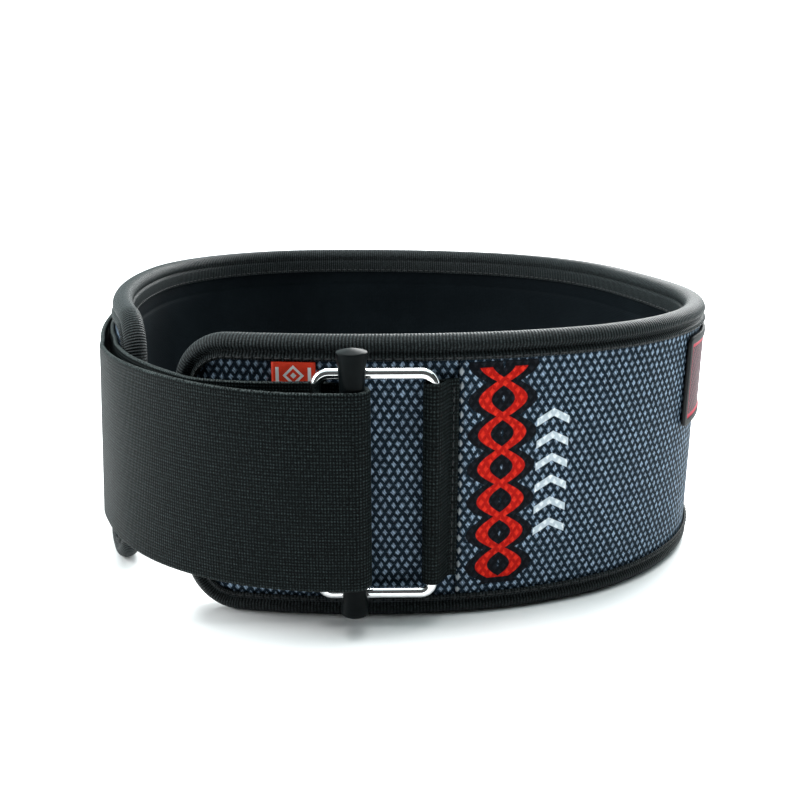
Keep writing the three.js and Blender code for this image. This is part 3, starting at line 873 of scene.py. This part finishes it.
RING_OFFSET = (plan_point(RING_POSITION - LEG_FROM_CENTRE, LEG_OUT) - RING_PLACE) @ RING_OUTWARD


def beside_ring(along, off):
    """A point of the plan given along the ring and outwards from its plane."""
    along = np.asarray(along, float)[..., None]
    off = np.asarray(off, float)[..., None]
    return RING_PLACE + along * RING_TANGENT + (RING_OFFSET + off) * RING_OUTWARD


def flattened(point):
    """The s and out of a point given in plan."""
    s = RING_POSITION
    for _ in range(12):
        place, tangent, _ = plan_at(s)
        s += float((point - place) @ tangent)
    place, _, outward = plan_at(s)
    return s, float((point - place) @ outward)


# Wire ring


def ring_path():
    """The wire's centre line: across, up, and the way outwards."""
    turn = np.linspace(0, math.pi / 2, 11)
    wide = RING_WIDTH / 2 - RING_CORNER_RADIUS
    tall = RING_HEIGHT / 2 - RING_CORNER_RADIUS
    rows = []
    for quarter, across, up in ((0, 1, 1), (1, -1, 1), (2, -1, -1), (3, 1, -1)):
        for angle in turn + quarter * math.pi / 2:
            x = across * wide + RING_CORNER_RADIUS * math.cos(angle)
            z = up * tall + RING_CORNER_RADIUS * math.sin(angle)
            rows.append((x, z, angle))
    return np.array(rows)


def wire_ring():
    path = ring_path()
    turn = np.linspace(0, 2 * math.pi, 28, endpoint=False)
    reach = WIRE_RADIUS * np.cos(turn)[None, :]
    off = np.broadcast_to(WIRE_RADIUS * np.sin(turn)[None, :], (len(path), 28))
    across = path[:, 0:1] + reach * np.cos(path[:, 2:3])
    up = path[:, 1:2] + reach * np.sin(path[:, 2:3])
    plan = beside_ring(across, -off)
    points = np.concatenate([plan, (RING_MIDDLE + up)[..., None]], -1)
    flat = np.stack([across, up, off], -1)
    faces = tube_faces(len(path), 28, closed=True)
    look = chrome_look()
    return make_piece("wire_ring", points, faces, flat, look, ("buckle_ring",))


# Locking bar


def bar_profile():
    foot = RING_BOTTOM - BAR_FOOT_BELOW_RING
    head = RING_TOP + BAR_TOP_ABOVE_RING
    return [
        (0.0, foot),
        (2.8, foot + 0.02),
        (3.9, foot + 0.12),
        (4.6, foot + 0.4),
        (4.86, foot + 0.8),
        (4.8, foot + 1.5),
        (4.58, foot + 2.8),
        (4.3, RING_BOTTOM),
        (4.08, RING_BOTTOM + 1.8),
        (3.92, RING_BOTTOM + 4.0),
        (3.8, RING_BOTTOM + 9.0),
        (3.8, RING_TOP - 9.0),
        (3.9, RING_TOP - 4.0),
        (4.2, RING_TOP),
        (4.45, RING_TOP + 3.4),
        (4.8, RING_TOP + 6.8),
        (4.98, head - 1.5),
        (5.0, head - 1.25),
        (4.88, head - 1.05),
        (4.5, head - 0.9),
        (3.0, head - 0.5),
        (1.5, head - 0.12),
        (0.0, head),
    ]


def locking_bar():
    profile = np.array(bar_profile())[1:-1]
    turn = np.linspace(0, 2 * math.pi, 48, endpoint=False)
    centre = beside_ring(BAR_FROM_RING_CENTRE, BAR_OFF)
    ring = direction_of(turn)[None, :, :]
    plan = centre + profile[:, 0, None, None] * ring
    z = np.broadcast_to(profile[:, 1:2], plan.shape[:2])
    points = np.concatenate([plan, z[..., None]], -1).reshape(-1, 3)
    faces = tube_faces(len(profile), 48)[:-2]
    tips = [[*centre, bar_profile()[0][1]], [*centre, bar_profile()[-1][1]]]
    bottom, top = len(points), len(points) + 1
    last = (len(profile) - 1) * 48
    for i in range(48):
        faces.append([bottom, i, (i + 1) % 48])
        faces.append([top, last + (i + 1) % 48, last + i])
    points = np.concatenate([points, np.array(tips)])
    name = "locking_bar_moulded"
    look = plastic_look()
    return make_piece(name, points, faces, points, look, ("locking_bar",))


# Sewn tab round the ring's right leg


def band(line, thickness):
    """A closed band of that thickness along a line in plan, with rounded ends."""
    tangent = np.gradient(line, axis=0)
    tangent /= np.linalg.norm(tangent, axis=1, keepdims=True)
    normal = np.stack([tangent[:, 1], -tangent[:, 0]], -1)
    half = thickness / 2
    cap_end = line[-1] + tangent[-1] * half * 0.6
    cap_start = line[0] - tangent[0] * half * 0.6
    outer = line + normal * half
    inner = line - normal * half
    return np.concatenate([outer, [cap_end], inner[::-1], [cap_start]])


def tab_line():
    """The tab's middle line in s and out: over the leg, round it and back under."""
    leg_s, leg_out = flattened(beside_ring(LEG_FROM_CENTRE, 0))
    radius = WIRE_RADIUS + CLEARANCE + TAB_SLACK + TAB_THICKNESS / 2
    floor = TRIM_BACK
    end = SEAM_POSITION - CLEARANCE / 2 - 0.3
    start = leg_s + radius + 2.4
    turn = np.radians(np.linspace(62, 292, 25))
    loop = np.stack([leg_s + radius * np.cos(turn), leg_out + radius * np.sin(turn)], -1)
    upper_s = np.linspace(end, start, 16)
    upper = np.stack([upper_s, 0 * upper_s + floor + 1.5], -1)
    lower_s = np.linspace(start, end, 16)
    lower = np.stack([lower_s, 0 * lower_s + floor + 0.5], -1)
    return np.concatenate([upper, loop, lower])


def evened(line, pitch, smooth=2):
    """The line with points a pitch apart, softened a little at its corners."""
    step = np.hypot(*np.diff(line, axis=0).T)
    along = np.concatenate([[0], np.cumsum(step)])
    count = max(3, int(round(along[-1] / pitch)))
    at = np.linspace(0, along[-1], count + 1)
    even = np.stack([np.interp(at, along, line[:, k]) for k in (0, 1)], -1)
    for _ in range(smooth):
        even[1:-1] = (even[:-2] + 2 * even[1:-1] + even[2:]) / 4
    return even, at


def ring_tab(thread):
    line, at = evened(tab_line(), 0.7)
    outline = band(line, TAB_THICKNESS * 0.92)
    along = np.concatenate([at, [at[-1]], at[::-1], [0]])
    low = MIDDLE_HEIGHT + TAB_RISE - TAB_HEIGHT / 2
    rows = np.linspace(1.2, TAB_HEIGHT - 1.2, 40)
    heights = low + np.concatenate([[0, 0.3], rows, [TAB_HEIGHT - 0.3, TAB_HEIGHT]])
    s = np.broadcast_to(outline[None, :, 0], (len(heights), len(outline)))
    out = np.broadcast_to(outline[None, :, 1], s.shape)
    z = np.broadcast_to(heights[:, None], s.shape)
    points = curled(s, out, z)
    flat = np.stack([np.broadcast_to(along[None, :], s.shape), z * 0.9 - 45, out], -1)
    faces = tube_faces(*s.shape)
    tab = make_piece("sewn_tab", points, faces, flat, webbing_look(), ("ring_tab",))
    rows = (SEAM_POSITION - 2.0, SEAM_POSITION - 4.2)
    face = TRIM_BACK + 2.02
    upright_stitches("tab_stitches", rows, face, low + 2, low + TAB_HEIGHT - 2, thread)
    return tab


# Closure strap


def bridge(out, target):
    """The strap's way from the strap end's tip to the front of the bar."""
    place, tangent, outward = plan_at(BELT_LENGTH)
    tip = place + out * outward
    reach = float(np.linalg.norm(target - tip))
    handle = reach * BRIDGE_FULLNESS
    return bezier(tip, tip + tangent * handle, target - RING_TANGENT * handle, target, reach)


def bezier(a, b, c, d, reach):
    t = np.linspace(0, 1, max(8, int(reach)))[:, None]
    return a * (1 - t) ** 3 + 3 * b * t * (1 - t) ** 2 + 3 * c * t**2 * (1 - t) + d * t**3


def strap_out(s):
    on_cover = TRIM_BACK + STRAP_THICKNESS / 2
    on_tape = TAPE_FACE + CLEARANCE + STRAP_THICKNESS / 2
    start, end = (BELT_LENGTH - reach for reach in STRAP_STEP_UP)
    return on_cover + (on_tape - on_cover) * smoothstep(s, start, end)


def loosened_at(s):
    """How far the outer layer has come loose of the inner one at s, from 0 to 1."""
    free_end = BELT_LENGTH - STRAP_FREE_LENGTH
    return smoothstep(s, free_end, free_end + STRAP_STAND_OFF_RUN)


def strap_parts():
    """The strap's middle line in parts, each with its s and its layer, 0 inside and 1 outside."""
    half = STRAP_THICKNESS / 2
    step = STRAP_THICKNESS + CLEARANCE
    turn = BAR_NECK_RADIUS + CLEARANCE + half
    leg_turn = WIRE_RADIUS + CLEARANCE + half
    sewn = np.linspace(BELT_LENGTH - STRAP_SEWN_LENGTH, BELT_LENGTH, 91)
    tip = float(strap_out(BELT_LENGTH))
    outer = bridge(tip + step + STRAP_STAND_OFF, beside_ring(BAR_FROM_RING_CENTRE, BAR_OFF + turn))
    inner = bridge(tip, beside_ring(BAR_FROM_RING_CENTRE, BAR_OFF + turn - step))
    split = int(len(inner) * 0.45)
    leaving = inner[split] - inner[split - 1]
    leaving /= np.linalg.norm(leaving)
    under = beside_ring(-LEG_FROM_CENTRE, -leg_turn)
    dip = bezier(inner[split], inner[split] + 9 * leaving, under - 9 * RING_TANGENT, under, 24)
    across = BAR_FROM_RING_CENTRE + LEG_FROM_CENTRE
    apart = math.hypot(across, BAR_OFF)
    crossing = math.atan2(BAR_OFF, across) - math.acos((leg_turn - turn) / apart)
    leg_angle = np.linspace(-math.pi / 2, crossing, 6)[1:]
    leg_along = leg_turn * np.cos(leg_angle) - LEG_FROM_CENTRE
    round_leg = beside_ring(leg_along, leg_turn * np.sin(leg_angle))
    bar_angle = np.linspace(crossing, math.pi / 2, 30)[:-1]
    bar_along = BAR_FROM_RING_CENTRE + turn * np.cos(bar_angle)
    round_bar = beside_ring(bar_along, BAR_OFF + turn * np.sin(bar_angle))
    free = np.linspace(BELT_LENGTH, BELT_LENGTH - STRAP_FREE_LENGTH, 79)[1:]
    return [
        (plan_point(sewn, strap_out(sewn)), sewn, 0),
        (inner[1:split], None, 0),
        (dip, None, 0),
        (round_leg, None, 0),
        (round_bar[bar_angle <= 0], None, 0),
        (round_bar[bar_angle > 0], None, 1),
        (outer[::-1], None, 1),
        (plan_point(free, strap_out(free) + step + STRAP_STAND_OFF * loosened_at(free)), free, 1),
    ]


def strap_stations():
    line, s, layer = [], [], []
    for points, at, side in strap_parts():
        line.append(points)
        s.append(np.full(len(points), BELT_LENGTH) if at is None else at)
        layer.append(np.full(len(points), float(side)))
    line, s, layer = np.concatenate(line), np.concatenate(s), np.concatenate(layer)
    even, at = evened(line, 1.0)
    step = np.hypot(*np.diff(line, axis=0).T)
    along = np.concatenate([[0], np.cumsum(step)])
    return even, at, np.interp(at, along, s), np.interp(at, along, layer)


def closure_strap():
    line, at, s, layer = strap_stations()
    tangent = np.gradient(line, axis=0)
    tangent /= np.linalg.norm(tangent, axis=1, keepdims=True)
    normal = np.stack([tangent[:, 1], -tangent[:, 0]], -1)
    bar = beside_ring(BAR_FROM_RING_CENTRE, BAR_OFF)
    from_bar = smoothstep(np.linalg.norm(line - bar, axis=1), STRAP_LEVEL_UP_TO, STRAP_TILTED_FROM)
    rise = STRAP_RISE_AT_BAR + (STRAP_RISE - STRAP_RISE_AT_BAR) * from_bar
    on_belt = s < BELT_LENGTH - 1e-6
    lean = np.where(on_belt, lean_at(s), lean_at(BELT_LENGTH) * from_bar)
    upright = 1 - (1 - OUTER_LEAN_SHARE) * loosened_at(s)
    lean = lean * np.where(layer < 0.5, 1, -upright)
    share, rounding, side = (part[None, :] for part in slab_section(np.linspace(-1, 1, 37), 3))
    half = STRAP_THICKNESS / 2
    rim = half * 0.96
    height = share * (STRAP_WIDTH / 2 - rim) + rounding * rim
    off = side * rim + ripple(at[:, None], height, 0.05, 30.0)
    z = MIDDLE_HEIGHT + rise[:, None] + height
    out = off - (z - MIDDLE_HEIGHT) * lean[:, None]
    plan = line[:, None, :] + out[..., None] * normal[:, None, :]
    points = np.concatenate([plan, z[..., None]], -1)
    flat = np.stack(np.broadcast_arrays(at[:, None], height, layer[:, None]), -1)
    faces = tube_faces(*z.shape)
    look = webbing_look()
    nodes = ("closure_strap",)
    strap = make_piece("folded_strap", points, faces, flat, look, nodes)
    return strap


# Trim on the cover


def pull_tag():
    return slab(
        "satin_tag",
        tag_look(),
        (TAG_POSITION - TAG_WIDTH / 2, TAG_POSITION + TAG_WIDTH / 2),
        (TRIM_TOP - TAG_LENGTH, TRIM_TOP),
        (TRIM_BACK, TRIM_BACK + TAG_THICKNESS * 0.9),
        np.linspace(-1, 1, 15),
        0.0,
        (False, False),
        0.5,
        nodes=("pull_tag",),
    )


def patch_relief(s, z, side):
    """A raised frame round a lower field."""
    middle_s = PATCH_POSITION + PATCH_WIDTH / 2
    middle_z = PATCH_TOP - PATCH_HEIGHT / 2
    in_s = PATCH_WIDTH / 2 - np.abs(s - middle_s)
    in_z = PATCH_HEIGHT / 2 - np.abs(z - middle_z)
    inset = np.minimum(in_s, in_z)
    return np.where(side > 0.99, -0.45 * smoothstep(inset, 2.6, 3.2), 0.0)


def side_patch():
    return slab(
        "moulded_patch",
        patch_look(),
        (PATCH_POSITION, PATCH_POSITION + PATCH_WIDTH),
        (PATCH_TOP - PATCH_HEIGHT, PATCH_TOP),
        (TRIM_BACK, TRIM_BACK + PATCH_THICKNESS),
        np.linspace(-1, 1, 73),
        3.0,
        (True, True),
        0.6,
        relief=patch_relief,
        nodes=("side_patch",),
    )


# Setting


def aim(holder, spot, target):
    holder.location = spot
    way = Vector(target) - Vector(spot)
    holder.rotation_euler = way.to_track_quat("-Z", "Y").to_euler()


def soft_light(name, spot, target, size, power):
    lamp = bpy.data.lights.new(name, "AREA")
    lamp.shape = "RECTANGLE"
    lamp.size, lamp.size_y = size
    lamp.energy = power
    holder = bpy.data.objects.new(name, lamp)
    bpy.context.scene.collection.objects.link(holder)
    aim(holder, spot, target)


def floor():
    shell = bmesh.new()
    bmesh.ops.create_circle(shell, cap_ends=True, segments=96, radius=4.0)
    mesh = bpy.data.meshes.new("floor")
    shell.to_mesh(mesh)
    shell.free()
    mesh.materials.append(floor_look())
    plate = bpy.data.objects.new("floor", mesh)
    bpy.context.scene.collection.objects.link(plate)


def studio():
    scene = bpy.context.scene
    world = bpy.data.worlds.new("studio")
    world.use_nodes = True
    world.node_tree.nodes["Background"].inputs["Color"].default_value = (0.85, 1.0, 1.01, 1)
    world.node_tree.nodes["Background"].inputs["Strength"].default_value = 1.45
    scene.world = world
    scene.view_settings.view_transform = "Standard"
    soft_light("key_left", (-1.2, -0.05, 0.6), (0, 0, 0.05), (0.9, 0.9), 18)
    soft_light("top", (0.0, 0.15, 1.3), (0, 0, 0.05), (1.0, 0.7), 32)
    soft_light("back", (0.5, 1.1, 0.55), (0, 0, 0.08), (1.2, 0.5), 26)
    floor()
    dark_card()


def dark_card():
    """A dark card with a wing on the right, behind the camera and unseen by it. It shades
    what faces the front."""
    side, front, top = 1.5, -0.8, 1.3
    corners = [(-side, front, 0), (side, front, 0), (side, front, top), (-side, front, top)]
    corners += [(side, 0, 0), (side, 0, top)]
    mesh = bpy.data.meshes.new("dark_card")
    mesh.from_pydata(corners, [], [(0, 1, 2, 3), (1, 4, 5, 2)])
    look = Look("dark_card", base_color=(0.01, 0.01, 0.01, 1), roughness=1.0)
    mesh.materials.append(look.material)
    card = bpy.data.objects.new("dark_card", mesh)
    bpy.context.scene.collection.objects.link(card)
    card.visible_camera = False


def camera():
    lens = bpy.data.cameras.new("camera")
    lens.lens = 40.5
    lens.sensor_width = 36.0
    lens.clip_start = 0.01
    holder = bpy.data.objects.new("camera", lens)
    bpy.context.scene.collection.objects.link(holder)
    holder.location = (0.003021, -0.395046, 0.16015)
    holder.rotation_euler = (math.radians(90 - 16.06), 0, 0)
    bpy.context.scene.camera = holder


def main():
    camera()
    studio()
    thread = thread_look()
    padded_wall()
    woven_covers()
    binding_tape()
    tape_stitches(thread)
    wire_ring()
    locking_bar()
    ring_tab(thread)
    closure_strap()
    pull_tag()
    side_patch()


main()
